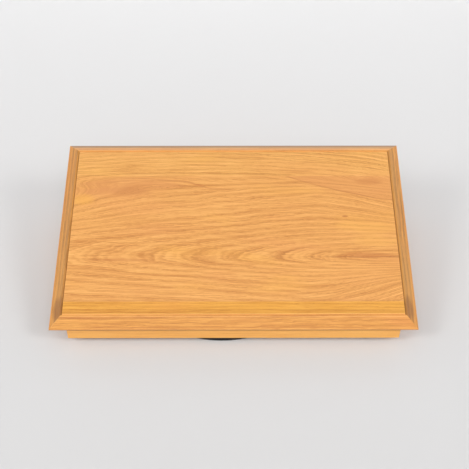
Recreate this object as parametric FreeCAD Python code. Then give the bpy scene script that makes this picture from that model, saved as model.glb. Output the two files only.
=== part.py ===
import FreeCAD, Part
import math
import os

# Sloping oak album stand on a round swivel foot.
# Units: mm. +X to the right, +Y towards the back, +Z up.
# Origin: centre of the overall plan, at floor level.

os.makedirs("parts", exist_ok=True)
V = FreeCAD.Vector

# ---------------------------------------------------------------- driving dimensions
TOP_W = 500.0            # width of the top over its border
TOP_D = 300.0            # depth of the top, measured along the slope
TOP_TH = 13.0            # thickness of the top
SLOPE = 20.0             # slope of the top, degrees, front low
TRIM_W = 18.0            # width of the border mouldings
BEVEL_W = 15.0           # plan width of the bevel
BEVEL_DROP = 10.0        # drop of the bevel
QUIRK_W = 1.2            # groove beside the panel
QUIRK_D = 1.1
ARRIS_R = 0.7            # rounding of worked edges
SEAM_REAR = 238.8        # seams between the staves, from the front edge along the slope
SEAM_FRONT = 36.7

BASE_GAP = 9.0           # underside of the base above the floor
FRONT_EDGE_H = 28.0      # lower front edge of the top above the floor
BASE_W = 454.0
BASE_D = 275.0
BASE_INSET = 2.5         # base front face behind the lower front edge of the top
BOARD = 18.0             # thickness of rails and cheeks
SPLINE_T = 3.0
SPLINE_W = 12.0

PANEL_Z0 = 16.5          # underside of the bottom panel
PANEL_TH = 9.0
BATTEN = 20.0
CLEAT = 15.0
BLOCK = 22.0

DISC_R = 135.0
DISC_X = -16.0           # the foot sits a little left of centre
DISC_Y = -0.7
DISC_Z0 = 1.0            # underside of the foot above the floor
DISC_TH = 7.0
DISC_ARRIS = 0.5         # rounding of the foot's rim
PAD_R = 8.0
PAD_TH = 2.0             # the pads sit in shallow recesses
PAD_PLAY = 0.2
PAD_RING = 118.0
PAD_N = 6

PLATE = 150.0            # side of the square bearing plates
PLATE_T = 1.0
HOLE_OFF = 62.0          # screw holes from the plate centre, both ways
RACE_R = 48.0
BALL_R = 2.38
BALL_PLAY = 0.06
BALL_N = 24
BORE_R = 29.0
PIVOT_PLAY = 0.05
EYELET_T = 1.2

# ---------------------------------------------------------------- helpers
A = math.radians(SLOPE)
SN, CS, TN = math.sin(A), math.cos(A), math.tan(A)
Y_MIN = BEVEL_DROP * SN
Y_MAX = TOP_D * CS + TOP_TH * SN
Y_MID = 0.5 * (Y_MIN + Y_MAX)
BOARD_PL = FreeCAD.Placement(V(0, -Y_MID, FRONT_EDGE_H + TOP_TH * CS),
                             FreeCAD.Rotation(V(1, 0, 0), SLOPE))
Y_LOW = TOP_TH * SN - Y_MID              # lower front edge of the top


def under(y):
    """Height of the underside of the top above the floor at y."""
    return FRONT_EDGE_H + (y - Y_LOW) * TN


def on_board(shape):
    s = shape.copy()
    s.Placement = BOARD_PL.multiply(s.Placement)
    return s


def box(x0, x1, y0, y1, z0, z1):
    return Part.makeBox(x1 - x0, y1 - y0, z1 - z0, V(x0, y0, z0))


def prism_z(pts, z0, z1):
    w = Part.makePolygon([V(x, y, z0) for x, y in pts] + [V(pts[0][0], pts[0][1], z0)])
    return Part.Face(w).extrude(V(0, 0, z1 - z0))


def rounded(pts, radii, lift):
    """Closed wire through 2-D points with rounded corners; lift maps 2-D to 3-D."""
    n = len(pts)
    segs = []
    for i in range(n):
        p, a, b = pts[i], pts[i - 1], pts[(i + 1) % n]
        r = radii[i]
        if r <= 0:
            segs.append((p, None, p))
            continue
        ua = (a[0] - p[0], a[1] - p[1])
        ub = (b[0] - p[0], b[1] - p[1])
        la, lb = math.hypot(*ua), math.hypot(*ub)
        ua = (ua[0] / la, ua[1] / la)
        ub = (ub[0] / lb, ub[1] / lb)
        half = 0.5 * math.acos(max(-1, min(1, ua[0] * ub[0] + ua[1] * ub[1])))
        t = r / math.tan(half)
        s = (p[0] + ua[0] * t, p[1] + ua[1] * t)
        e = (p[0] + ub[0] * t, p[1] + ub[1] * t)
        bi = (ua[0] + ub[0], ua[1] + ub[1])
        lbi = math.hypot(*bi)
        c = (p[0] + bi[0] / lbi * r / math.sin(half), p[1] + bi[1] / lbi * r / math.sin(half))
        m = (c[0] - bi[0] / lbi * r, c[1] - bi[1] / lbi * r)
        segs.append((s, m, e))
    edges = []
    for i in range(n):
        s, m, e = segs[i]
        if m is not None:
            edges.append(Part.Arc(lift(*s), lift(*m), lift(*e)).toShape())
        nxt = segs[(i + 1) % n][0]
        if math.hypot(e[0] - nxt[0], e[1] - nxt[1]) > 1e-6:
            edges.append(Part.makeLine(lift(*e), lift(*nxt)))
    return Part.Wire(edges)


def revolve(pts, cx, cy):
    """Ring from a closed (r, z) outline."""
    w = Part.makePolygon([V(cx + r, cy, z) for r, z in pts] + [V(cx + pts[0][0], cy, pts[0][1])])
    return Part.Face(w).revolve(V(cx, cy, 0), V(0, 0, 1), 360)


def turned(x, y):
    """Point relative to the foot centre."""
    return DISC_X + x, DISC_Y + y


def wood_screw(x, y, z, length, r, head_r, kind):
    """Screw pointing up, head underside or face at z."""
    if kind == "flat":
        h = head_r - r
        head = Part.makeCone(head_r, r, h, V(x, y, z))
        slot = h * 0.55
    else:
        h = 2.3
        head = Part.makeCylinder(head_r, h, V(x, y, z - h))
        head = head.makeFillet(1.2, [e for e in head.Edges
                                     if e.Curve.TypeId == "Part::GeomCircle"
                                     and abs(e.Vertexes[0].Z - (z - h)) < 1e-6])
        slot = 1.2
    z_face = z if kind == "flat" else z - h
    body_top = z + length - 3.0
    shank = Part.makeCylinder(r, body_top - z, V(x, y, z))
    tip = Part.makeCone(r, 0.25, 3.0, V(x, y, body_top))
    s = head.fuse(shank).fuse(tip)
    cross = box(x - head_r * 0.55, x + head_r * 0.55, y - 0.4, y + 0.4, z_face - 1, z_face + slot)
    cross = cross.fuse(box(x - 0.4, x + 0.4, y - head_r * 0.55, y + head_r * 0.55,
                           z_face - 1, z_face + slot))
    return s.cut(cross).removeSplitter()


def screw_void(x, y, z, length, r, head_r, kind):
    """Space that a screw takes in the wood."""
    body_top = z + length - 3.0
    v = Part.makeCylinder(r, body_top - z, V(x, y, z)).fuse(
        Part.makeCone(r, 0.25, 3.0, V(x, y, body_top)))
    if kind == "flat":
        v = v.fuse(Part.makeCone(head_r, r, head_r - r, V(x, y, z)))
    return v


def cut_all(shape, tools):
    for t in tools:
        if shape.BoundBox.intersect(t.BoundBox):
            shape = shape.cut(t)
    return shape


out = {}

# ---------------------------------------------------------------- top: three staves
HW = TOP_W / 2
PX = HW - TRIM_W
stave_rear = on_board(box(-PX, PX, SEAM_REAR, TOP_D - TRIM_W, -TOP_TH, 0))
stave_middle = on_board(box(-PX, PX, SEAM_FRONT, SEAM_REAR, -TOP_TH, 0))
stave_front = on_board(box(-PX, PX, TRIM_W, SEAM_FRONT, -TOP_TH, 0))

# ---------------------------------------------------------------- border mouldings
SECTION = [(0, -TOP_TH), (0, -BEVEL_DROP), (BEVEL_W, 0), (TRIM_W - QUIRK_W, 0),
           (TRIM_W - QUIRK_W, -QUIRK_D), (TRIM_W, -QUIRK_D), (TRIM_W, -TOP_TH)]
ROUND = [ARRIS_R, ARRIS_R, 1.2, 0.3, 0, 0, 0]


def moulding(side):
    if side in ("front", "back"):
        length = TOP_W
        wire = rounded(SECTION, ROUND, lambda a, b: V(-HW, a, b))
        bar = Part.Face(wire).extrude(V(length, 0, 0))
        keep = prism_z([(-HW, 0), (HW, 0), (HW - TRIM_W, TRIM_W), (-HW + TRIM_W, TRIM_W)],
                       -TOP_TH - 1, 1)
        bar = bar.common(keep)
        if side == "back":
            bar = bar.mirror(V(0, TOP_D / 2, 0), V(0, 1, 0))
    else:
        wire = rounded(SECTION, ROUND, lambda a, b: V(-HW + a, 0, b))
        bar = Part.Face(wire).extrude(V(0, TOP_D, 0))
        keep = prism_z([(-HW, 0), (-HW + TRIM_W, TRIM_W), (-HW + TRIM_W, TOP_D - TRIM_W), (-HW, TOP_D)],
                       -TOP_TH - 1, 1)
        bar = bar.common(keep)
        if side == "right":
            bar = bar.mirror(V(0, 0, 0), V(1, 0, 0))
    return bar


trim_keys = []
for sx in (-1, 1):
    for sy in (0, 1):
        k = box(-6.5, 6.5, -4, 4, -10.8, -8.8)
        ang = 45 if (sx < 0) == (sy == 0) else -45
        cx = sx * (HW - 11.6)
        cy = 11.6 if sy == 0 else TOP_D - 11.6
        k.Placement = FreeCAD.Placement(V(cx, cy, 0), FreeCAD.Rotation(V(0, 0, 1), ang))
        trim_keys.append(k)

for side in ("front", "back", "left", "right"):
    out["trim_" + side] = on_board(cut_all(moulding(side), trim_keys))
out["trim_splines"] = Part.makeCompound([on_board(k) for k in trim_keys])

# ---------------------------------------------------------------- wedge base
BX = BASE_W / 2
BY0 = Y_LOW + BASE_INSET
BY1 = BY0 + BASE_D
IX = BX - BOARD
IY0 = BY0 + BOARD
IY1 = BY1 - BOARD
above = on_board(box(-400, 400, -200, 600, -TOP_TH, 300))

base_keys = []
for sx in (-1, 1):
    for front in (True, False):
        y_c = BY0 + BOARD / 2 if front else BY1 - BOARD / 2
        x_c = sx * (BX - BOARD / 2)
        z1 = under(y_c) - (5.0 if front else 9.0)
        k = box(-SPLINE_W / 2, SPLINE_W / 2, -SPLINE_T / 2, SPLINE_T / 2, BASE_GAP + 4.0, z1)
        ang = -45 if (sx < 0) == front else 45
        k.Placement = FreeCAD.Placement(V(x_c, y_c, 0), FreeCAD.Rotation(V(0, 0, 1), ang))
        base_keys.append(k)


def wall(outline, rounded_edges=None):
    s = prism_z(outline, BASE_GAP, 220).cut(above)
    return s


front_rail = wall([(-BX, BY0), (BX, BY0), (IX, IY0), (-IX, IY0)])
back_rail = wall([(-BX, BY1), (-IX, IY1), (IX, IY1), (BX, BY1)])
left_cheek = wall([(-BX, BY0), (-IX, IY0), (-IX, IY1), (-BX, BY1)])
right_cheek = wall([(BX, BY0), (BX, BY1), (IX, IY1), (IX, IY0)])

# the outside lower edges are eased
EASE = 0.5
ease = []
for (xa, ya, xb, yb) in ((-BX, BY0, BX, BY0), (-BX, BY1, BX, BY1), (-BX, BY0, -BX, BY1), (BX, BY0, BX, BY1)):
    if ya == yb:
        s = -1 if ya == BY0 else 1
        pts = [V(-BX - 2, ya + s * 1, BASE_GAP - 1), V(-BX - 2, ya - s * (EASE + 0), BASE_GAP - 1),
               V(-BX - 2, ya - s * EASE, BASE_GAP), V(-BX - 2, ya, BASE_GAP + EASE), V(-BX - 2, ya + s * 1, BASE_GAP + EASE)]
        ease.append(Part.Face(Part.makePolygon(pts + [pts[0]])).extrude(V(2 * BX + 4, 0, 0)))
    else:
        s = -1 if xa < 0 else 1
        pts = [V(xa + s * 1, BY0 - 2, BASE_GAP - 1), V(xa - s * EASE, BY0 - 2, BASE_GAP - 1),
               V(xa - s * EASE, BY0 - 2, BASE_GAP), V(xa, BY0 - 2, BASE_GAP + EASE), V(xa + s * 1, BY0 - 2, BASE_GAP + EASE)]
        ease.append(Part.Face(Part.makePolygon(pts + [pts[0]])).extrude(V(0, BASE_D + 4, 0)))

# ---------------------------------------------------------------- inside the base
PZ1 = PANEL_Z0 + PANEL_TH
bottom_panel = box(-IX, IX, IY0, IY1, PANEL_Z0, PZ1)
corner_blocks = [box(-IX, -IX + BLOCK, IY1 - BLOCK, IY1, PZ1, 220).cut(above),
                 box(IX - BLOCK, IX, IY1 - BLOCK, IY1, PZ1, 220).cut(above)]
front_batten = box(-IX, IX, IY0, IY0 + BATTEN, PZ1, 220).cut(above)
BB_Z0 = under(IY1 - BATTEN) - 20.0
back_batten = box(-IX + BLOCK, IX - BLOCK, IY1 - BATTEN, IY1, BB_Z0, 220).cut(above)
left_cleat = box(-IX, -IX + CLEAT, IY0 + BATTEN, IY1 - BLOCK, PZ1, PZ1 + CLEAT)
right_cleat = box(IX - CLEAT, IX, IY0 + BATTEN, IY1 - BLOCK, PZ1, PZ1 + CLEAT)
back_cleat = box(-IX + BLOCK, IX - BLOCK, IY1 - CLEAT, IY1, PZ1, PZ1 + CLEAT)

# ---------------------------------------------------------------- wood screws
SR, SH = 1.75, 3.4
spec_front = [(x, IY0 + 11.0, PZ1, under(IY0 + 11.0) - PZ1 + 9.0, SR, SH, "flat") for x in (-165, 0, 165)]
spec_back = [(x, IY1 - 10.0, BB_Z0, under(IY1 - 10.0) - BB_Z0 + 9.0, SR, SH, "flat") for x in (-165, 0, 165)]
spec_panel = []
for x in (-185, -62, 62, 185):
    spec_panel.append((x, IY0 + 10.0, PANEL_Z0, 16.0, SR, SH, "flat"))
    spec_panel.append((x * 0.97, IY1 - CLEAT / 2, PANEL_Z0, 16.0, SR, SH, "flat"))
for y in (-45.0, 45.0):
    spec_panel.append((-IX + CLEAT / 2, y, PANEL_Z0, 16.0, SR, SH, "flat"))
    spec_panel.append((IX - CLEAT / 2, y, PANEL_Z0, 16.0, SR, SH, "flat"))
R_HOLE = HOLE_OFF * math.sqrt(2)
spec_plate = []
for k in range(4):
    a = math.radians(90 * k)
    x, y = turned(R_HOLE * math.cos(a), R_HOLE * math.sin(a))
    spec_plate.append((x, y, PANEL_Z0 - PLATE_T, 9.0, 1.9, 3.6, "pan"))

all_specs = spec_front + spec_back + spec_panel + spec_plate
voids = [screw_void(*s) for s in all_specs]
out["top_screws_front"] = Part.makeCompound([wood_screw(*s) for s in spec_front])
out["top_screws_back"] = Part.makeCompound([wood_screw(*s) for s in spec_back])
out["bottom_panel_screws"] = Part.makeCompound([wood_screw(*s) for s in spec_panel])
out["upper_plate_screws"] = Part.makeCompound([wood_screw(*s) for s in spec_plate])

out["top_stave_rear"] = cut_all(stave_rear, voids)
out["top_stave_middle"] = cut_all(stave_middle, voids)
out["top_stave_front"] = cut_all(stave_front, voids)
out["front_rail"] = cut_all(cut_all(front_rail, base_keys), ease)
out["back_rail"] = cut_all(cut_all(back_rail, base_keys), ease)
out["left_cheek"] = cut_all(cut_all(left_cheek, base_keys), ease)
out["right_cheek"] = cut_all(cut_all(right_cheek, base_keys), ease)
out["base_splines"] = Part.makeCompound(base_keys)
out["bottom_panel"] = cut_all(bottom_panel, voids)
out["front_batten"] = cut_all(front_batten, voids)
out["back_batten"] = cut_all(back_batten, voids)
out["left_cleat"] = cut_all(left_cleat, voids)
out["right_cleat"] = cut_all(right_cleat, voids)
out["back_cleat"] = cut_all(back_cleat, voids)
out["rear_corner_blocks"] = Part.makeCompound(corner_blocks)

# ---------------------------------------------------------------- swivel bearing
Z8 = DISC_Z0 + DISC_TH                    # top of the disc
ZB = 0.5 * (Z8 + PANEL_Z0)                # plane of the ball centres
GR = BALL_R + BALL_PLAY                   # groove radius
GO = GR + PLATE_T
SHOULDER = ZB - GR * math.cos(math.radians(50))
WEB = SHOULDER - PLATE_T


def plate_ring(hole_r):
    """Pressed ring of the lower plate: web, ball groove and ramp down to the flange."""
    steps = 14
    top = [(54.0, Z8 + PLATE_T), (51.9, SHOULDER)]
    for i in range(steps + 1):
        a = math.radians(50 - 100.0 * i / steps)
        top.append((RACE_R + GR * math.sin(a), ZB - GR * math.cos(a)))
    top.append((hole_r, SHOULDER))
    low = [(hole_r, WEB)]
    lim = math.degrees(math.acos((ZB - WEB) / GO))
    for i in range(steps + 1):
        a = math.radians(-lim + 2 * lim * i / steps)
        low.append((RACE_R + GO * math.sin(a), ZB - GO * math.cos(a)))
    low += [(51.5, WEB), (53.6, Z8)]
    return revolve(top + low + [(56.0, Z8), (56.0, Z8 + PLATE_T)], DISC_X, DISC_Y)


def square_flange(rot):
    h = PLATE / 2
    wire = rounded([(-h, -h), (h, -h), (h, h), (-h, h)], [12.0] * 4, lambda a, b: V(a, b, 0))
    s = Part.Face(wire).extrude(V(0, 0, PLATE_T))
    s = s.cut(Part.makeCylinder(55.0, 4, V(0, 0, -2)))
    for a in (-1, 1):
        for b in (-1, 1):
            s = s.cut(Part.makeCylinder(2.15, 4, V(a * HOLE_OFF, b * HOLE_OFF, -2)))
    s.Placement = FreeCAD.Placement(V(DISC_X, DISC_Y, Z8), FreeCAD.Rotation(V(0, 0, 1), rot))
    return s


lower = plate_ring(BORE_R).fuse(square_flange(0)).removeSplitter()
upper = plate_ring(BORE_R - PIVOT_PLAY).fuse(square_flange(45)).removeSplitter()
upper = upper.mirror(V(0, 0, ZB), V(0, 0, 1))
out["bearing_lower_plate"] = lower
out["bearing_upper_plate"] = upper

balls = []
cage = Part.makeCylinder(51.4, 1.2, V(DISC_X, DISC_Y, ZB - 0.6)).cut(
    Part.makeCylinder(44.6, 4, V(DISC_X, DISC_Y, ZB - 2)))
for i in range(BALL_N):
    a = 2 * math.pi * i / BALL_N
    x, y = turned(RACE_R * math.cos(a), RACE_R * math.sin(a))
    balls.append(Part.makeSphere(BALL_R, V(x, y, ZB)))
    cage = cage.cut(Part.makeCylinder(BALL_R + 0.15, 4, V(x, y, ZB - 2)))
out["bearing_balls"] = Part.makeCompound(balls)
out["ball_cage"] = cage

# eyelet: tube with two rolled flanges, turns in the bore of the lower plate
ER = BORE_R - PIVOT_PLAY
EI = ER - EYELET_T
Z_LO = WEB - 0.3
Z_HI = 2 * ZB - WEB
out["centre_eyelet"] = revolve([(EI, Z_LO - 1.0), (ER + 4.0, Z_LO - 1.0), (ER + 4.0, Z_LO), (ER, Z_LO),
                                (ER, Z_HI), (ER + 4.0, Z_HI), (ER + 4.0, Z_HI + 1.0), (EI, Z_HI + 1.0)],
                               DISC_X, DISC_Y)

# ---------------------------------------------------------------- round foot
disc_wire = rounded([(0, DISC_Z0), (DISC_R, DISC_Z0), (DISC_R, Z8), (0, Z8)], [0, DISC_ARRIS, DISC_ARRIS, 0],
                    lambda a, b: V(DISC_X + a, DISC_Y, b))
disc = Part.Face(disc_wire).revolve(V(DISC_X, DISC_Y, 0), V(0, 0, 1), 360)
disc = disc.cut(Part.makeCylinder(9.0, 20, V(DISC_X, DISC_Y, -2)))          # assembly hole
ax, ay = turned(R_HOLE, 0)
disc = disc.cut(Part.makeCylinder(7.0, 20, V(ax, ay, -2)))                  # screwdriver hole
screws, nuts = [], []
for a in (-1, 1):
    for b in (-1, 1):
        x, y = turned(a * HOLE_OFF, b * HOLE_OFF)
        disc = disc.cut(Part.makeCylinder(2.1, 20, V(x, y, -2)))
        disc = disc.cut(Part.makeCone(4.1, 2.0, 2.1, V(x, y, DISC_Z0)))
        s = Part.makeCone(3.9, 2.0, 1.9, V(x, y, DISC_Z0 + 0.2)).fuse(
            Part.makeCylinder(2.0, DISC_TH + 4.0, V(x, y, DISC_Z0 + 0.2)))
        s = s.cut(box(x - 2.2, x + 2.2, y - 0.45, y + 0.45, 0, DISC_Z0 + 1.3))
        s = s.cut(box(x - 0.45, x + 0.45, y - 2.2, y + 2.2, 0, DISC_Z0 + 1.3))
        screws.append(s.removeSplitter())
        hexa = [(x + 4.04 * math.cos(math.radians(60 * i + 15)), y + 4.04 * math.sin(math.radians(60 * i + 15)))
                for i in range(6)]
        n = prism_z(hexa, Z8 + PLATE_T, Z8 + PLATE_T + 3.0)
        n = n.common(Part.makeCone(5.4, 3.7, 3.4, V(x, y, Z8 + PLATE_T)))
        nuts.append(n.cut(Part.makeCylinder(2.0, 20, V(x, y, -2))))
out["disc_screws"] = Part.makeCompound(screws)
out["disc_nuts"] = Part.makeCompound(nuts)

pads = []
for i in range(PAD_N):
    a = math.radians(30 + 60 * i)
    x, y = turned(PAD_RING * math.cos(a), PAD_RING * math.sin(a))
    w = rounded([(0, 0), (PAD_R, 0), (PAD_R, PAD_TH), (0, PAD_TH)], [0, 0.6, 0, 0],
                lambda p, q, x=x, y=y: V(x + p, y, q))
    pads.append(Part.Face(w).revolve(V(x, y, 0), V(0, 0, 1), 360))
    disc = disc.cut(Part.makeCylinder(PAD_R + PAD_PLAY, PAD_TH + 4.0, V(x, y, -4.0)))
out["foot_pads"] = Part.makeCompound(pads)
out["turntable_disc"] = disc

# ---------------------------------------------------------------- export
for name in sorted(out):
    shape = out[name]
    bad = [s for s in shape.Solids if not s.isValid() or s.Volume <= 0]
    bb = shape.BoundBox
    print("%-22s solids %2d  vol %10.1f  x %7.2f %7.2f  y %7.2f %7.2f  z %6.2f %6.2f %s" % (
        name, len(shape.Solids), sum(s.Volume for s in shape.Solids), bb.XMin, bb.XMax, bb.YMin, bb.YMax,
        bb.ZMin, bb.ZMax, "BAD" if bad else ""))
    shape.exportStep("parts/" + name + ".step")
print("nodes", len(out))
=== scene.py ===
import math

import bmesh
import bpy
from mathutils import Matrix, Vector

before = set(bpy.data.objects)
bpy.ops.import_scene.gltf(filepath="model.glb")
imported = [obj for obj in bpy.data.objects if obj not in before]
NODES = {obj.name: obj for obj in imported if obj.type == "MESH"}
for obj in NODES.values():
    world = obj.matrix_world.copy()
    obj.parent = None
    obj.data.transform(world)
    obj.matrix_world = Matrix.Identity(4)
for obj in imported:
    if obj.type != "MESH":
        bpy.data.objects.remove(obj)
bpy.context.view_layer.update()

# ------------------------------------------------------------------ the board's own axes
# u along the grain of the panel (X), v up the slope from the low front edge, w out of the face
SLOPE = math.radians(20.0)
TOP_TH = 0.013
BEVEL_DROP = 0.010
TOP_D = 0.300
Y_MID = 0.5 * (BEVEL_DROP * math.sin(SLOPE) + TOP_D * math.cos(SLOPE) + TOP_TH * math.sin(SLOPE))
BOARD = Matrix.Translation((0, -Y_MID, 0.028 + TOP_TH * math.cos(SLOPE))) @ Matrix.Rotation(SLOPE, 4, "X")
TO_BOARD = BOARD.inverted()


# ------------------------------------------------------------------ node writing
class N:
    """Writes a node tree with short calls. A value is a number or a socket."""

    def __init__(self, name):
        self.mat = bpy.data.materials.new(name)
        self.mat.use_nodes = True
        self.t = self.mat.node_tree
        self.t.nodes.clear()
        self.out = self.t.nodes.new("ShaderNodeOutputMaterial")
        self.bsdf = self.t.nodes.new("ShaderNodeBsdfPrincipled")
        self.t.links.new(self.bsdf.outputs[0], self.out.inputs[0])

    def put(self, sock, val):
        if isinstance(val, bpy.types.NodeSocket):
            self.t.links.new(val, sock)
        else:
            sock.default_value = val

    def m(self, op, a, b=0.0, c=0.0, clamp=False):
        n = self.t.nodes.new("ShaderNodeMath")
        n.operation = op
        n.use_clamp = clamp
        self.put(n.inputs[0], a)
        self.put(n.inputs[1], b)
        self.put(n.inputs[2], c)
        return n.outputs[0]

    def add(self, a, b): return self.m("ADD", a, b)
    def sub(self, a, b): return self.m("SUBTRACT", a, b)
    def mul(self, a, b): return self.m("MULTIPLY", a, b)
    def mad(self, a, b, c): return self.m("MULTIPLY_ADD", a, b, c)
    def pw(self, a, b): return self.m("POWER", a, b)

    def smooth(self, x, lo, hi, a=0.0, b=1.0):
        n = self.t.nodes.new("ShaderNodeMapRange")
        n.interpolation_type = "SMOOTHSTEP"
        for i, v in enumerate((x, lo, hi, a, b)):
            self.put(n.inputs[i], v)
        return n.outputs[0]

    def lin(self, x, lo, hi, a=0.0, b=1.0):
        n = self.t.nodes.new("ShaderNodeMapRange")
        n.clamp = True
        for i, v in enumerate((x, lo, hi, a, b)):
            self.put(n.inputs[i], v)
        return n.outputs[0]

    def xyz(self, x, y, z):
        n = self.t.nodes.new("ShaderNodeCombineXYZ")
        self.put(n.inputs[0], x)
        self.put(n.inputs[1], y)
        self.put(n.inputs[2], z)
        return n.outputs[0]

    def split(self, v):
        n = self.t.nodes.new("ShaderNodeSeparateXYZ")
        self.put(n.inputs[0], v)
        return n.outputs[0], n.outputs[1], n.outputs[2]

    def coords(self):
        n = self.t.nodes.new("ShaderNodeTexCoord")
        return n.outputs["Object"]

    def noise(self, vec, scale=1.0, detail=2.0, rough=0.5, dist=0.0, dim="3D"):
        n = self.t.nodes.new("ShaderNodeTexNoise")
        n.noise_dimensions = dim
        self.put(n.inputs["Vector"], vec)
        n.inputs["Scale"].default_value = scale
        n.inputs["Detail"].default_value = detail
        n.inputs["Roughness"].default_value = rough
        n.inputs["Distortion"].default_value = dist
        return n.outputs[0]

    def white(self, val):
        n = self.t.nodes.new("ShaderNodeTexWhiteNoise")
        n.noise_dimensions = "1D"
        self.put(n.inputs["W"], val)
        return n.outputs[0]

    def voronoi(self, vec, scale=1.0, feature="F1", rand=1.0):
        n = self.t.nodes.new("ShaderNodeTexVoronoi")
        n.feature = feature
        self.put(n.inputs["Vector"], vec)
        n.inputs["Scale"].default_value = scale
        n.inputs["Randomness"].default_value = rand
        return n.outputs["Distance"]

    def mix(self, f, a, b, mode="MIX"):
        n = self.t.nodes.new("ShaderNodeMix")
        n.data_type = "RGBA"
        n.blend_type = mode
        n.clamp_factor = True
        self.put(n.inputs[0], f)
        for s, v in ((n.inputs[6], a), (n.inputs[7], b)):
            if isinstance(v, (tuple, list)):
                v = tuple(v) + (1.0,) if len(v) == 3 else tuple(v)
            self.put(s, v)
        return n.outputs[2]

    def ramp(self, f, stops, mode="LINEAR"):
        n = self.t.nodes.new("ShaderNodeValToRGB")
        n.color_ramp.interpolation = mode
        self.put(n.inputs[0], f)
        e = n.color_ramp.elements
        while len(e) > 1:
            e.remove(e[-1])
        e[0].position, e[0].color = stops[0][0], tuple(stops[0][1]) + (1.0,)
        for p, c in stops[1:]:
            x = e.new(p)
            x.color = tuple(c) + (1.0,)
        return n.outputs[0]

    def bump(self, h, strength, dist, normal=None):
        n = self.t.nodes.new("ShaderNodeBump")
        n.inputs["Strength"].default_value = strength
        n.inputs["Distance"].default_value = dist
        self.put(n.inputs["Height"], h)
        if normal is not None:
            self.put(n.inputs["Normal"], normal)
        return n.outputs[0]

    def edge(self, radius, lo=0.985, hi=0.90):
        """1 near a worn edge, by comparing a rounded normal with the true one."""
        b = self.t.nodes.new("ShaderNodeBevel")
        b.samples = 4
        b.inputs["Radius"].default_value = radius
        g = self.t.nodes.new("ShaderNodeNewGeometry")
        d = self.t.nodes.new("ShaderNodeVectorMath")
        d.operation = "DOT_PRODUCT"
        self.t.links.new(b.outputs[0], d.inputs[0])
        self.t.links.new(g.outputs["Normal"], d.inputs[1])
        return self.smooth(d.outputs["Value"], lo, hi)

    def finish(self, color, rough, normal=None, **fixed):
        self.put(self.bsdf.inputs["Base Color"], color)
        self.put(self.bsdf.inputs["Roughness"], rough)
        if normal is not None:
            self.put(self.bsdf.inputs["Normal"], normal)
        for k, v in fixed.items():
            self.bsdf.inputs[k.replace("_", " ")].default_value = v
        return self.mat


def srgb(r, g, b):
    def f(c):
        c /= 255.0
        return c / 12.92 if c <= 0.04045 else ((c + 0.055) / 1.055) ** 2.4
    return (f(r), f(g), f(b))


# ------------------------------------------------------------------ oak
# colours of the lacquered wood itself, before light; the rail colours alone carry painted light
PALETTE = {
    "panel": dict(dark=srgb(197, 130, 65), mid=srgb(223, 159, 87), light=srgb(238, 177, 103), pore=srgb(150, 90, 42),
                  warm=srgb(224, 154, 90), cool=srgb(236, 174, 86)),
    "rear": dict(dark=srgb(199, 134, 66), mid=srgb(226, 165, 89), light=srgb(241, 183, 108), pore=srgb(150, 92, 42),
                 warm=srgb(226, 158, 90), cool=srgb(236, 176, 90)),
    "yellow": dict(dark=srgb(194, 125, 45), mid=srgb(219, 154, 62), light=srgb(234, 172, 78), pore=srgb(144, 84, 32),
                   warm=srgb(222, 148, 68), cool=srgb(232, 168, 66)),
    "front": dict(dark=srgb(187, 118, 50), mid=srgb(213, 147, 67), light=srgb(228, 165, 84), pore=srgb(144, 84, 38),
                  warm=srgb(216, 142, 74), cool=srgb(226, 160, 74)),
    "side": dict(dark=srgb(150, 104, 58), mid=srgb(200, 140, 76), light=srgb(220, 162, 92), pore=srgb(110, 74, 42),
                 warm=srgb(214, 138, 66), cool=srgb(186, 142, 92)),
    "bright": dict(dark=srgb(210, 140, 70), mid=srgb(232, 164, 86), light=srgb(243, 178, 100), pore=srgb(150, 90, 42),
                   warm=srgb(230, 158, 88), cool=srgb(238, 174, 88)),
    # painted light: lighter than the other base boards, for the rail's show face
    "rail": dict(dark=srgb(215, 147, 69), mid=srgb(234, 168, 82), light=srgb(242, 181, 94), pore=srgb(176, 112, 54),
                 warm=srgb(232, 162, 88), cool=srgb(240, 178, 90)),
    "back": dict(dark=srgb(202, 132, 64), mid=srgb(226, 158, 82), light=srgb(238, 174, 98), pore=srgb(150, 90, 42),
                 warm=srgb(220, 148, 84), cool=srgb(232, 168, 80)),
}


def local(n, world, origin=(0, 0, 0)):
    """Coordinates in mm in the frame whose matrix is world, shifted by origin (mm)."""
    inv = world.inverted()
    mp = n.t.nodes.new("ShaderNodeMapping")
    mp.vector_type = "POINT"
    loc, rot, _ = inv.decompose()
    mp.inputs["Location"].default_value = [1000 * c - o for c, o in zip(loc, origin)]
    mp.inputs["Rotation"].default_value = rot.to_euler("XYZ")
    mp.inputs["Scale"].default_value = (1000, 1000, 1000)
    n.t.links.new(n.coords(), mp.inputs["Vector"])
    return n.split(mp.outputs[0])


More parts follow.
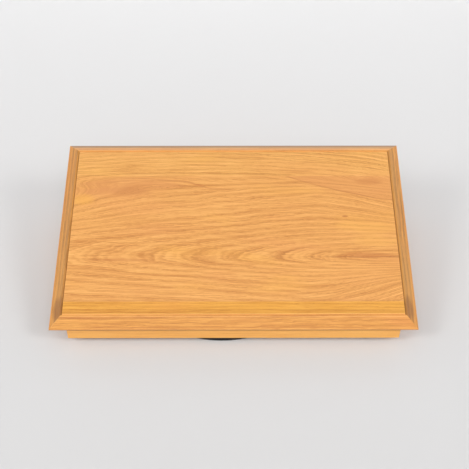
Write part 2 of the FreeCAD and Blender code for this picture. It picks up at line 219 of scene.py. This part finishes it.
def oak(name, world, phase, palette, origin=(0, 0, 0), axis="u", seed=0.0, contrast=1.0,
        fine=1.0, rough=0.42, patches=None, wander=0.30):
    """Solid oak. phase(n, g, c, d) gives the growth-ring count at a point and the place across the flow of
    the fibres, with g along the grain, c across the face and d into the board, all in mm."""
    n = N(name)
    u, v, w = local(n, world, origin)
    g, c, d = {"u": (u, v, w), "v": (v, u, w), "uw": (u, w, v), "vw": (v, w, u)}[axis]
    gs = n.add(g, seed * 713.0)

    # slow wander of the rings, a ripple, and a fine fuzz
    slow = n.sub(n.noise(n.xyz(n.mul(gs, 0.0065), n.mul(c, 0.016), n.mul(d, 0.016)), 1.0, 2.0, 0.5), 0.5)
    ripple = n.sub(n.noise(n.xyz(n.mul(gs, 0.020), n.mul(c, 0.10), n.mul(d, 0.10)), 1.0, 3.0, 0.55), 0.5)
    fuzz = n.sub(n.noise(n.xyz(n.mul(gs, 0.06), n.mul(c, 0.8), n.mul(d, 0.8)), 1.0, 2.0, 0.5), 0.5)
    ring, flow, near = phase(n, g, c, d)
    ring = n.mad(slow, wander, ring)
    ring = n.mad(ripple, 0.55, ring)
    ring = n.mad(fuzz, 0.30, ring)
    cross = n.mad(ripple, 5.0, n.mad(slow, 10.0, flow))

    def lines(r, key, line, tail):
        """Dark porous early wood at the start of each ring, fading into the late wood."""
        idx = n.m("FLOOR", r)
        fr = n.sub(r, idx)
        power = n.mad(n.white(n.add(idx, key)), 0.60, 0.45)
        return idx, n.mul(n.mul(n.smooth(fr, 0.0, 0.07), n.smooth(fr, line, line + tail, 1.0, 0.0)), power)

    idx, early = lines(ring, seed * 17.0 + 3.0, 0.12, 0.34)
    _, second = lines(n.mad(ring, 2.0, 0.45), seed * 23.0 + 7.0, 0.20, 0.5)
    gate = n.smooth(n.noise(n.xyz(n.mul(gs, 0.009), n.mul(flow, 0.045), n.mul(d, 0.03)), 1.0, 2.0), 0.34, 0.56, 0.35, 1.0)
    second = n.mul(second, gate)
    _, third = lines(n.mad(ring, 4.6, 0.2), seed * 29.0 + 11.0, 0.25, 0.5)
    tone = n.sub(n.white(n.add(idx, seed * 31.0 + 91.0)), 0.5)
    # the lines come and go along the board
    come = n.noise(n.xyz(n.mul(gs, 0.013), n.mul(ring, 1.1), n.mul(d, 0.02)), 1.0, 2.0, 0.5)
    early = n.mul(early, n.smooth(come, 0.30, 0.62, 0.60, 1.05))
    if near is not None:
        # where the cut runs almost along the rings, each one shows as a broad band
        early = n.mul(early, n.mad(near, 0.60, 1.0))

    # streaks 2 to 6 mm wide that follow the flow, and the fibres themselves
    streak = n.noise(n.xyz(n.mul(gs, 0.0075), n.mul(cross, 0.33), n.mul(d, 0.33)), 1.0, 5.0, 0.74)
    fib = n.noise(n.xyz(n.mul(gs, 0.020), n.mul(cross, 0.90), n.mul(d, 0.90)), 1.0, 4.0, 0.72)
    broad = n.noise(n.xyz(n.mul(gs, 0.008), n.mul(c, 0.03), n.mul(d, 0.03)), 1.0, 2.0, 0.5)

    # pores: short dark dashes along the grain, thick in the early wood, and a few long ones
    pv = n.voronoi(n.xyz(n.mul(gs, 0.16), n.mul(cross, 2.1), n.mul(d, 2.1)), 1.0)
    pn = n.noise(n.xyz(n.mul(gs, 0.02), n.mul(c, 0.25), n.mul(d, 0.25)), 1.0, 2.0)
    where = n.mad(early, 0.26, n.mad(pn, 0.18, 0.02))
    pore = n.m("MULTIPLY", n.smooth(n.sub(where, pv), 0.0, 0.06), 1.0, clamp=True)
    lv = n.voronoi(n.xyz(n.mul(gs, 0.045), n.mul(cross, 0.62), n.mul(d, 0.62)), 1.0)
    long_pore = n.smooth(n.sub(n.mad(early, 0.16, n.mul(pn, 0.22)), lv), 0.0, 0.10)

    P = PALETTE[palette]
    f = n.mad(early, -0.50 * contrast, 0.74)
    f = n.mad(second, -0.34 * contrast, f)
    f = n.mad(third, -0.34 * contrast, f)
    f = n.mad(n.sub(streak, 0.5), 1.22 * fine, f)
    f = n.mad(n.sub(fib, 0.5), 1.95 * fine, f)
    f = n.mad(tone, 0.12 * contrast, f)
    f = n.mad(long_pore, -0.40 * fine, f)
    f = n.m("ADD", f, n.mul(n.sub(broad, 0.5), 0.40), clamp=True)
    col = n.ramp(f, [(0.0, P["dark"]), (0.5, P["mid"]), (1.0, P["light"])])
    # warm and cool drift of the colour
    drift = n.noise(n.xyz(n.mul(gs, 0.006), n.mul(c, 0.022), n.mul(d, 0.02)), 1.0, 2.0, 0.5)
    col = n.mix(n.smooth(drift, 0.52, 0.72, 0.0, 0.40), col, P["warm"])
    col = n.mix(n.smooth(drift, 0.46, 0.28, 0.0, 0.40), col, P["cool"])
    if patches:
        col = patches(n, u, v, w, col, streak)
    col = n.mix(n.mul(pore, 0.40), col, P["pore"])
    # handled edges are a little lighter where the lacquer has rubbed
    e = n.edge(0.0009)
    wear_and_highlight = n.smooth(n.noise(n.xyz(n.mul(u, 0.06), n.mul(v, 0.06), n.mul(w, 0.06)), 1.0, 3.0), 0.42, 0.62)
    col = n.mix(n.mul(e, n.mad(wear_and_highlight, 0.25, 0.04)), col, srgb(246, 190, 116))

    h = n.mad(pore, -1.0, n.mul(fib, 0.35))
    h = n.mad(early, -0.30, n.mad(streak, 0.30, h))
    smear = n.noise(n.xyz(n.mul(u, 0.012), n.mul(v, 0.02), n.mul(w, 0.02)), 1.0, 3.0)
    rr = n.mad(pore, 0.18, n.mad(n.sub(smear, 0.5), 0.16, n.mad(n.sub(fib, 0.5), 0.10, rough)))
    nb = n.bump(h, 0.22, 0.00012)
    return n.finish(col, rr, nb, IOR=1.48, Coat_Weight=0.12, Coat_Roughness=0.30)


def tilted_log(n, g, c, d):
    """Rings of a log whose heart runs under the face and comes up towards the right, so the face cuts
    nested arches that open to the right about the line v = 104."""
    far = n.m("ABSOLUTE", n.mul(g, 1 / 228.0))
    bend = n.mul(n.pw(far, 3.0), 26.0)
    up = n.smooth(c, 128.0, 190.0)
    top = n.smooth(c, 204.0, 236.0)
    low = n.smooth(c, 96.0, 62.0)
    turn = n.pw(n.m("MAXIMUM", n.mul(n.sub(g, 92.0), 1 / 139.0), 0.0), 1.7)
    cc = n.mad(bend, up, c)
    cc = n.mad(n.mul(n.add(g, 60.0), 0.16), top, cc)
    cc = n.mad(n.mul(turn, -30.0), low, cc)
    off = n.sub(cc, 104.0)
    above = n.mul(n.m("MAXIMUM", off, 0.0), 0.80)
    below = n.m("MAXIMUM", n.mul(off, -1.0), 0.0)
    # below the heart the rings are tight at first and then as wide as above
    below = n.mad(n.sub(1.0, n.m("EXPONENT", n.mul(below, -1 / 22.0))), 13.2, n.mul(below, 0.85))
    across = n.add(above, below)
    # the arches open wider towards the right
    across = n.mul(across, n.lin(g, -60.0, 120.0, 1.0, 0.80))
    heart = n.m("MAXIMUM", n.add(n.mad(g, -0.085, 20.0), d), 0.6)
    r = n.m("SQRT", n.add(n.mul(across, across), n.mul(heart, heart)))
    near = n.mul(n.smooth(n.m("ABSOLUTE", n.sub(off, 2.0)), 30.0, 4.0), n.mul(n.smooth(g, -160.0, -95.0, 0.0, 1.0), n.smooth(g, 70.0, 130.0, 1.0, 0.25)))
    return n.mad(n.pw(r, 0.65), 0.878, 0.04), cc, near


def straight(spacing, tilt=0.0, radius=260.0, side=1.0, bend=0.0, bend_from=0.0):
    """Nearly straight grain: a board cut far from the heart. bend turns the lines down towards both ends."""
    def f(n, g, c, d):
        cc = n.mad(g, tilt, c)
        if bend:
            far = n.m("ABSOLUTE", n.mul(n.sub(g, bend_from), 1 / 228.0))
            cc = n.mad(n.pw(far, 2.4), bend, cc)
        r = n.m("SQRT", n.add(n.pw(n.add(cc, radius), 2.0), n.pw(n.mad(d, side, radius * 0.6), 2.0)))
        return n.mul(r, 1.0 / spacing), cc, None
    return f


def blobs(n, u, v, streak):
    """Returns a function that draws a ragged patch at a place on the board."""
    grain = n.noise(n.xyz(n.mul(u, 0.018), n.mul(v, 0.14), 0.0), 1.0, 3.0)

    def blob(cx, cy, rx, ry, ragged=1.2, rag_streak=2.2):
        a = n.mul(n.sub(u, cx), 1.0 / rx)
        b = n.mul(n.sub(v, cy), 1.0 / ry)
        q = n.add(n.mul(a, a), n.mul(b, b))
        q = n.mad(n.sub(grain, 0.5), ragged, q)
        q = n.mad(n.sub(streak, 0.5), -rag_streak, q)
        return n.smooth(q, 1.25, 0.15)
    return blob


def middle_patches(n, u, v, w, col, streak):
    """Heartwood blush in the upper corners of the wide stave, the dark line that bounds it on the right,
    and dark mineral streaks on the heart line."""
    blob = blobs(n, u, v, streak)
    blush, dark = srgb(213, 144, 84), srgb(184, 110, 56)
    part = n.smooth(streak, 0.34, 0.60, 0.78, 0.42)
    col = n.mix(n.mul(blob(-152, 224, 84, 14), part), col, blush)
    col = n.mix(n.mul(blob(-150, 212, 34, 9), part), col, srgb(200, 132, 74))
    col = n.mix(n.mul(blob(-198, 213, 30, 7), part), col, blush)
    col = n.mix(n.mul(blob(-222, 199, 20, 10), 0.50), col, srgb(234, 170, 78))
    # right: darker wood above a line that falls away to the right
    t = n.m("MAXIMUM", n.mul(n.sub(231.0, u), 1 / 149.0), 0.0)
    edge = n.mad(n.pw(t, 1.35), 39.5, 197.5)
    wave = n.noise(n.xyz(n.mul(u, 0.02), 3.3, 0.0), 1.0, 2.0)
    dist = n.sub(v, n.mad(n.sub(wave, 0.5), 3.0, edge))
    above = n.mul(n.smooth(dist, -1.0, 2.0), n.smooth(dist, 46.0, 10.0, 0.25, 1.0))
    above = n.mul(above, n.smooth(u, 70.0, 96.0))
    col = n.mix(n.mul(above, n.smooth(streak, 0.30, 0.62, 0.70, 0.34)), col, blush)
    thin = n.mul(n.smooth(n.m("ABSOLUTE", dist), 1.9, 0.3), n.smooth(u, 60.0, 92.0))
    col = n.mix(n.mul(thin, n.smooth(wave, 0.35, 0.6, 0.30, 0.60)), col, dark)
    col = n.mix(n.mul(blob(200, 229, 22, 7), 0.34), col, dark)
    # left: the line that leaves the seam and joins the upper arcs
    lt = n.m("MAXIMUM", n.mul(n.sub(n.mul(u, -1.0), 0.0), 1 / 100.0), 0.0)
    e2 = n.mad(n.smooth(lt, 0.30, 0.75), 9.0, n.mad(lt, 7.0, 215.0))
    d2 = n.sub(v, n.mad(n.sub(wave, 0.5), 3.0, e2))
    thin2 = n.mul(n.smooth(n.m("ABSOLUTE", d2), 2.0, 0.3), n.smooth(n.m("ABSOLUTE", n.add(u, 60.0)), 75.0, 45.0))
    col = n.mix(n.mul(thin2, n.smooth(wave, 0.35, 0.6, 0.25, 0.55)), col, dark)
    # glue line at the front seam
    col = n.mix(n.mul(n.smooth(v, 40.2, 38.6), 0.55), col, n.mix(1.0, col, (0.84, 0.80, 0.76), "MULTIPLY"))
    # heart line
    col = n.mix(n.mul(blob(-162, 100, 46, 2.6), 0.38), col, dark)
    line = n.smooth(n.m("ABSOLUTE", n.sub(n.mad(n.sub(wave, 0.5), 4.0, v), 104.5)), 1.5, 0.4)
    line = n.mul(line, n.mul(n.smooth(u, 118.0, 150.0), n.smooth(streak, 0.25, 0.55, 0.85, 0.50)))
    col = n.mix(line, col, srgb(168, 96, 46))
    col = n.mix(n.mul(blob(190, 107, 46, 4.0), 0.45), col, dark)
    col = n.mix(n.mul(blob(161, 170, 5, 1.6, 0.3, 0.4), 0.80), col, dark)
    return col


def side_patches(n, u, v, w, col, streak):
    """The side mouldings: olive towards the panel, darker patches at the front mitre, and painted shade along the
    groove next to the panel.
    """
    blob = blobs(n, v, u, streak)
    inner = n.smooth(n.m("ABSOLUTE", u), 244.0, 236.0)
    col = n.mix(n.mul(inner, 0.28), col, srgb(172, 126, 74))
    outer = n.smooth(n.m("ABSOLUTE", u), 244.5, 248.5)
    col = n.mix(n.mul(outer, 0.45), col, srgb(216, 150, 78))
    for sx in (-1, 1):
        col = n.mix(n.mul(blob(27, sx * 238, 21, 9, 1.0, 1.4), 0.62), col, srgb(132, 84, 42))
    # painted shade: the groove next to the panel is darkened
    col = n.mix(n.mul(n.smooth(n.m("ABSOLUTE", u), 233.6, 232.8), 0.15), col, srgb(120, 74, 34))
    return n.mix(1.0, col, (1.03, 0.955, 0.62), "MULTIPLY")


def back_patches(n, u, v, w, col, streak):
    """Painted shade and painted reflection: the back moulding turns darker and greyer towards its outer edge."""
    out = n.smooth(v, 288.0, 299.5)
    return n.mix(n.mul(out, 0.92), col, srgb(156, 120, 86))


def front_patches(n, u, v, w, col, streak):
    """The front moulding: a painted highlight line on the arris, and painted light that lightens the shaded groove and
    the low edge.
    """
    # painted light: the groove, shaded by its walls, is made lighter
    col = n.mix(n.mul(n.smooth(n.m("ABSOLUTE", n.sub(v, 17.2)), 1.3, 0.7), 0.22), col, srgb(246, 180, 104))
    # painted light: the low edge, which faces down and away from the light, is made lighter
    col = n.mix(n.mul(n.smooth(v, 2.4, 0.4), 0.25), col, srgb(240, 170, 88))
    # painted highlight along the arris
    wear_and_highlight = n.smooth(n.m("ABSOLUTE", n.sub(v, 15.0)), 1.1, 0.3)
    return n.mix(n.mul(wear_and_highlight, n.smooth(streak, 0.3, 0.6, 0.15, 0.45)), col, srgb(246, 182, 108))


def stave_patches(n, u, v, w, col, streak):
    """The front stave: a painted highlight on the edge at the groove, and a darker band behind it."""
    band = n.smooth(n.m("ABSOLUTE", n.sub(v, 22.4)), 3.6, 2.6)
    col = n.mix(n.mul(band, n.smooth(streak, 0.3, 0.6, 0.85, 0.55)), col,
                n.mix(1.0, col, (0.86, 0.82, 0.84), "MULTIPLY"))
    # painted highlight along the edge at the groove
    wear_and_highlight = n.smooth(v, 19.3, 18.5)
    return n.mix(n.mul(wear_and_highlight, 0.85), col, srgb(250, 192, 112))


MIDDLE = oak("oak_middle_stave", BOARD, tilted_log, "panel", seed=1.0, patches=middle_patches)
REAR = oak("oak_rear_stave", BOARD, straight(6.5, 0.010, bend=13.0, bend_from=-40.0), "rear", seed=2.0, contrast=1.05,
           fine=1.2)
FRONT = oak("oak_front_stave", BOARD, straight(4.2, 0.004), "yellow", seed=3.0, contrast=0.9, fine=1.2,
            patches=stave_patches)
TRIM_F = oak("oak_trim_front", BOARD, straight(7.5, -0.012), "front", seed=4.0, contrast=1.1, fine=1.35,
             patches=front_patches)
TRIM_B = oak("oak_trim_back", BOARD, straight(5.5, 0.006), "bright", seed=5.0, contrast=0.9, patches=back_patches)
TRIM_L = oak("oak_trim_left", BOARD, straight(4.6, 0.010), "side", axis="v", seed=6.0, contrast=1.0, patches=side_patches)
TRIM_R = oak("oak_trim_right", BOARD, straight(4.6, -0.010), "side", axis="v", seed=7.0, contrast=1.0, patches=side_patches)


def rail_patches(n, u, v, w, col, streak):
    """A painted shadow: a dark line along the top of the face, under the border's overhang. Behind the show face the
    wood has the same tone as the other base boards; the show face itself is painted lighter, as painted light."""
    # painted shadow under the overhang of the border
    line = n.smooth(w, 23.4, 26.4)
    # painted light: only the show face keeps the lighter rail colours, the other faces are toned down
    inside = n.smooth(v, -137.7, -136.6)
    col = n.mix(inside, col, n.mix(1.0, col, (0.925, 0.870, 0.98), "MULTIPLY"))
    return n.mix(n.mul(line, n.smooth(streak, 0.3, 0.6, 1.0, 0.90)), col, srgb(104, 50, 8))


RAIL_F = oak("oak_front_rail", Matrix.Identity(4), straight(3.0, 0.002), "rail", axis="uw", seed=8.0, contrast=0.6,
             fine=1.0, patches=rail_patches)


def back_log(n, g, c, d):
    off = n.sub(c, 66.0)
    heart = n.m("MAXIMUM", n.add(n.mad(g, 0.060, 24.0), d), 0.8)
    r = n.m("SQRT", n.add(n.mul(off, off), n.mul(heart, heart)))
    near = n.smooth(n.m("ABSOLUTE", off), 18.0, 5.0)
    return n.mul(n.pw(r, 0.70), 0.74), c, near


RAIL_B = oak("oak_back_rail", Matrix.Translation((0, 0.119, 0)), back_log, "back", axis="uw", seed=9.0, contrast=0.9)
CHEEK_L = oak("oak_left_cheek", Matrix.Identity(4), straight(6.0, 0.03), "back", axis="vw", seed=10.0, contrast=0.9)
CHEEK_R = oak("oak_right_cheek", Matrix.Identity(4), straight(6.0, -0.02), "back", axis="vw", seed=11.0, contrast=0.9)


# ------------------------------------------------------------------ the hidden woods
def plain_wood(name, dark, light, axis, ring_mm, layers=False, seed=0.0, wave=5.0, figure=0.55, relief=0.30):
    n = N(name)
    u, v, w = local(n, Matrix.Identity(4))
    g, c, d = {"u": (u, v, w), "v": (v, u, w), "z": (w, u, v)}[axis]
    gs = n.add(g, seed * 331.0)
    wob = n.noise(n.xyz(n.mul(gs, 0.006), n.mul(c, 0.02), n.mul(d, 0.02)), 1.0, 3.0)
    ring = n.mad(wob, wave, n.mul(c, 1.0 / ring_mm))
    if layers:
        # peeled veneer: the bands are of uneven width
        ring = n.mad(n.noise(n.xyz(n.mul(gs, 0.001), n.mul(c, 0.040), 0.0), 1.0, 3.0, 0.6), 9.0, ring)
    fr = n.sub(ring, n.m("FLOOR", ring))
    late = n.mul(n.smooth(fr, 0.35, 0.92), n.smooth(fr, 1.0, 0.93))
    fib = n.noise(n.xyz(n.mul(gs, 0.05), n.mul(c, 1.5), n.mul(d, 1.5)), 1.0, 4.0, 0.6)
    fleck = n.smooth(n.voronoi(n.xyz(n.mul(gs, 0.11), n.mul(c, 1.3), n.mul(d, 1.3)), 1.0), 0.16, 0.05)
    f = n.m("ADD", n.mul(late, figure), n.mad(fleck, 0.30, n.mul(n.sub(fib, 0.35), 0.6)), clamp=True)
    col = n.mix(f, light, dark)
    if layers:
        # plies show as stripes on the sawn edges only
        geo = n.t.nodes.new("ShaderNodeNewGeometry")
        nx, ny, nz = n.split(geo.outputs["Normal"])
        flat = n.smooth(n.m("ABSOLUTE", nz), 0.5, 0.8)
        ply = n.m("FRACT", n.mul(w, 1 / 2.8))
        stripe = n.smooth(n.m("ABSOLUTE", n.sub(ply, 0.5)), 0.17, 0.24)
        col = n.mix(n.mul(n.sub(1.0, flat), n.mul(stripe, 0.65)), col, dark)
    dust = n.noise(n.xyz(n.mul(u, 0.03), n.mul(v, 0.03), n.mul(w, 0.03)), 1.0, 4.0)
    col = n.mix(n.smooth(dust, 0.5, 0.75, 0.0, 0.25), col, srgb(168, 146, 118))
    rr = n.mad(n.sub(fib, 0.5), 0.16, 0.68)
    return n.finish(col, rr, n.bump(n.mad(late, 0.3, fib), relief, 0.00018), IOR=1.45)


PLY = plain_wood("birch_plywood", srgb(178, 138, 92), srgb(222, 190, 146), "u", 9.0, True, 1.0,
                 wave=3.2, figure=0.13, relief=0.08)
PLY_KEY = plain_wood("birch_spline", srgb(172, 132, 88), srgb(216, 184, 140), "u", 5.0, True, 2.0)
PINE_U = plain_wood("softwood_long", srgb(196, 146, 84), srgb(232, 198, 142), "u", 3.6, False, 3.0)
PINE_V = plain_wood("softwood_side", srgb(196, 146, 84), srgb(232, 198, 142), "v", 3.4, False, 4.0)
PINE_Z = plain_wood("softwood_block", srgb(192, 142, 80), srgb(228, 194, 138), "z", 3.8, False, 5.0)


# ------------------------------------------------------------------ black lacquer, rubber, steel, nylon
def black_lacquer():
    n = N("black_lacquer")
    u, v, w = local(n, Matrix.Identity(4))
    p = n.xyz(u, v, w)
    peel = n.noise(p, 0.35, 3.0, 0.55)
    speck = n.noise(p, 1.7, 3.0, 0.6)
    wear = n.noise(p, 0.018, 4.0, 0.6)
    col = n.mix(n.smooth(speck, 0.45, 0.75), (0.0040, 0.0040, 0.0043), (0.0110, 0.0110, 0.0115))
    col = n.mix(n.mul(n.edge(0.0007), n.smooth(wear, 0.50, 0.66, 0.0, 0.35)), col, (0.050, 0.047, 0.044))
    rr = n.mad(n.sub(wear, 0.5), 0.25, n.mad(n.sub(speck, 0.5), 0.12, 0.46))
    return n.finish(col, rr, n.bump(n.mad(peel, 1.0, n.mul(speck, 0.25)), 0.25, 0.00020), IOR=1.42)


def rubber():
    n = N("black_rubber")
    u, v, w = local(n, Matrix.Identity(4))
    p = n.xyz(u, v, w)
    grit = n.noise(p, 2.2, 4.0, 0.65)
    dust = n.noise(p, 0.25, 3.0, 0.5)
    col = n.mix(grit, (0.018, 0.018, 0.018), (0.040, 0.039, 0.038))
    col = n.mix(n.smooth(dust, 0.52, 0.72, 0.0, 0.30), col, (0.16, 0.155, 0.145))
    rr = n.mad(n.sub(grit, 0.5), 0.2, 0.80)
    return n.finish(col, rr, n.bump(grit, 0.5, 0.00018), IOR=1.5)


def steel(name, tint, rough, scale=1.0, brushed=True, warm=0.25):
    n = N(name)
    u, v, w = local(n, Matrix.Identity(4))
    p = n.xyz(u, v, w)
    spangle = n.voronoi(p, 0.22 * scale)
    lines = n.noise(n.xyz(n.mul(u, 0.08), n.mul(v, 3.0), n.mul(w, 3.0)), 1.0, 3.0) if brushed else n.noise(p, 3.0, 3.0)
    stain = n.noise(p, 0.05, 4.0, 0.6)
    col = n.mix(n.mul(n.sub(lines, 0.3), 0.5), tint, tuple(c * 0.78 for c in tint))
    col = n.mix(n.mul(spangle, 0.25), col, tuple(min(1.0, c * 1.12) for c in tint))
    col = n.mix(n.smooth(stain, 0.5, 0.72, 0.0, warm), col, (0.42, 0.36, 0.24))
    rr = n.mad(n.sub(stain, 0.5), 0.3, n.mad(n.sub(lines, 0.5), 0.15, rough))
    return n.finish(col, rr, n.bump(lines, 0.15, 0.00008), Metallic=1.0)


def nylon():
    n = N("natural_nylon")
    u, v, w = local(n, Matrix.Identity(4))
    p = n.xyz(u, v, w)
    a = n.noise(p, 0.4, 3.0)
    b = n.noise(p, 3.0, 3.0)
    col = n.mix(a, srgb(214, 210, 196), srgb(232, 229, 218))
    rr = n.mad(n.sub(b, 0.5), 0.2, 0.48)
    return n.finish(col, rr, n.bump(b, 0.25, 0.0001), IOR=1.53)


BLACK, RUBBER, NYLON = black_lacquer(), rubber(), nylon()
ZINC = steel("zinc_plated_steel", (0.60, 0.61, 0.61), 0.34)
SCREW = steel("zinc_yellow_screw", (0.66, 0.60, 0.42), 0.30, 3.0, True, 0.35)
BALL = steel("bearing_steel", (0.66, 0.66, 0.67), 0.14, 2.0, False, 0.05)

LOOKS = {
    "top_stave_middle": MIDDLE, "top_stave_rear": REAR, "top_stave_front": FRONT,
    "trim_front": TRIM_F, "trim_back": TRIM_B, "trim_left": TRIM_L, "trim_right": TRIM_R,
    "front_rail": RAIL_F, "back_rail": RAIL_B, "left_cheek": CHEEK_L, "right_cheek": CHEEK_R,
    "bottom_panel": PLY, "trim_splines": PLY_KEY, "base_splines": PLY_KEY,
    "front_batten": PINE_U, "back_batten": PINE_U, "back_cleat": PINE_U,
    "left_cleat": PINE_V, "right_cleat": PINE_V, "rear_corner_blocks": PINE_Z,
    "turntable_disc": BLACK, "foot_pads": RUBBER, "ball_cage": NYLON, "bearing_balls": BALL,
    "bearing_upper_plate": ZINC, "bearing_lower_plate": ZINC, "centre_eyelet": ZINC, "disc_nuts": ZINC,
    "disc_screws": ZINC, "upper_plate_screws": SCREW, "bottom_panel_screws": SCREW,
    "top_screws_front": SCREW, "top_screws_back": SCREW,
}
for name, obj in NODES.items():
    mat = LOOKS[name]
    if not obj.material_slots:
        obj.data.materials.append(mat)
    for s in obj.material_slots:
        s.material = mat


# ------------------------------------------------------------------ floor, light, camera
# strength of the glow painted on the far backdrop
GLOW = 0.32


def floor_material():
    n = N("studio_floor")
    c = n.coords()
    a = n.noise(c, 1.2, 3.0, 0.5)
    b = n.noise(c, 90.0, 3.0, 0.6)
    x, y, z = n.split(c)
    # painted light: the floor is lighter towards the back
    col = n.mix(n.lin(y, -0.34, 1.05), (0.622, 0.622, 0.628), (0.92, 0.92, 0.925))
    col = n.mix(n.smooth(a, 0.3, 0.7, 0.0, 0.04), col, (0.84, 0.83, 0.82))
    rr = n.mad(n.sub(b, 0.5), 0.08, 0.72)
    # painted light: the far backdrop glows, more with distance from the centre and a little less near the top of the
    # wall
    far = n.m("SQRT", n.add(n.mul(x, x), n.mul(y, y)))
    glow = n.mul(n.smooth(far, 1.5, 3.6), n.smooth(z, 3.4, 0.6, 0.85, 1.0))
    n.put(n.bsdf.inputs["Emission Color"], n.mix(glow, (0.0, 0.0, 0.0), (1.0, 1.0, 1.0)))
    n.bsdf.inputs["Emission Strength"].default_value = GLOW
    return n.finish(col, rr, n.bump(b, 0.03, 0.0002), IOR=1.4)


# a flat round floor that curves up into a low wall all round, so that every side has a plain pale background
bm = bmesh.new()
SEG = 96
FLAT, CURVE, WALL = 3.2, 1.0, 3.4
prof = [(FLAT * (k / 16.0) ** 1.2, 0.0) for k in range(1, 17)]
prof += [(FLAT + CURVE * math.sin(math.pi / 2 * k / 14), CURVE - CURVE * math.cos(math.pi / 2 * k / 14)) for k in range(1, 15)]
prof.append((FLAT + CURVE, WALL))
centre = bm.verts.new((0, 0, 0))
rings = [[bm.verts.new((r * math.cos(2 * math.pi * j / SEG), r * math.sin(2 * math.pi * j / SEG), z)) for j in range(SEG)]
         for r, z in prof]
for j in range(SEG):
    bm.faces.new((centre, rings[0][j], rings[0][(j + 1) % SEG]))
for a, b in zip(rings, rings[1:]):
    for j in range(SEG):
        bm.faces.new((a[j], b[j], b[(j + 1) % SEG], a[(j + 1) % SEG]))
me = bpy.data.meshes.new("studio_sweep")
bm.to_mesh(me)
bm.free()
for p in me.polygons:
    p.use_smooth = True
sweep = bpy.data.objects.new("studio_sweep", me)
sweep.data.materials.append(floor_material())
bpy.context.scene.collection.objects.link(sweep)


def area(name, loc, target, size, energy, color=(1, 1, 1)):
    d = bpy.data.lights.new(name, "AREA")
    d.shape = "RECTANGLE"
    d.size, d.size_y = size
    d.energy = energy
    d.color = color
    o = bpy.data.objects.new(name, d)
    o.location = loc
    o.rotation_euler = (Vector(target) - Vector(loc)).to_track_quat("-Z", "Y").to_euler()
    bpy.context.scene.collection.objects.link(o)
    return o


# two soft boxes at the front left and right, a softer one above the camera, and one overhead
DIST = 2.6
az = math.radians(31)
el = math.radians(40)
for s, nm in ((-1, "softbox_left"), (1, "softbox_right")):
    loc = (s * DIST * math.cos(el) * math.cos(az), -DIST * math.cos(el) * math.sin(az), DIST * math.sin(el))
    area(nm, loc, (0, 0.05, 0.05), (0.90, 0.90), 21.6, (1.0, 0.985, 0.965))
area("front_fill", (0, -2.1, 2.1), (0, 0, 0.05), (1.8, 1.1), 24.5, (1.0, 0.99, 0.975))
area("overhead", (0, 0.1, 2.8), (0, 0.1, 0), (3.0, 3.0), 10.5, (0.985, 0.99, 1.0))
wash = area("backdrop_wash", (0, 3.0, 2.2), (0, 1.5, 0), (2.6, 0.5), 2.6, (1.0, 1.0, 1.0))
wash.data.spread = math.radians(46)

world = bpy.data.worlds.new("studio")
world.use_nodes = True
bg = world.node_tree.nodes["Background"]
bg.inputs[0].default_value = (0.98, 0.985, 1.0, 1)
bg.inputs[1].default_value = 0.18
bpy.context.scene.world = world

cam_d = bpy.data.cameras.new("camera")
cam_d.sensor_width = 36.0
cam_d.lens = 783.0 / 469.0 * 36.0
cam_d.clip_start, cam_d.clip_end = 0.05, 50
cam = bpy.data.objects.new("camera", cam_d)
cam.location = (-0.0001, -0.8449, 0.8311)
cam.rotation_euler = (math.radians(90 - 41.77), 0, math.radians(-0.106))
bpy.context.scene.collection.objects.link(cam)
bpy.context.scene.camera = cam
bpy.context.scene.view_settings.view_transform = "Standard"
bpy.context.scene.view_settings.look = "None"
bpy.context.scene.view_settings.exposure = 0.0
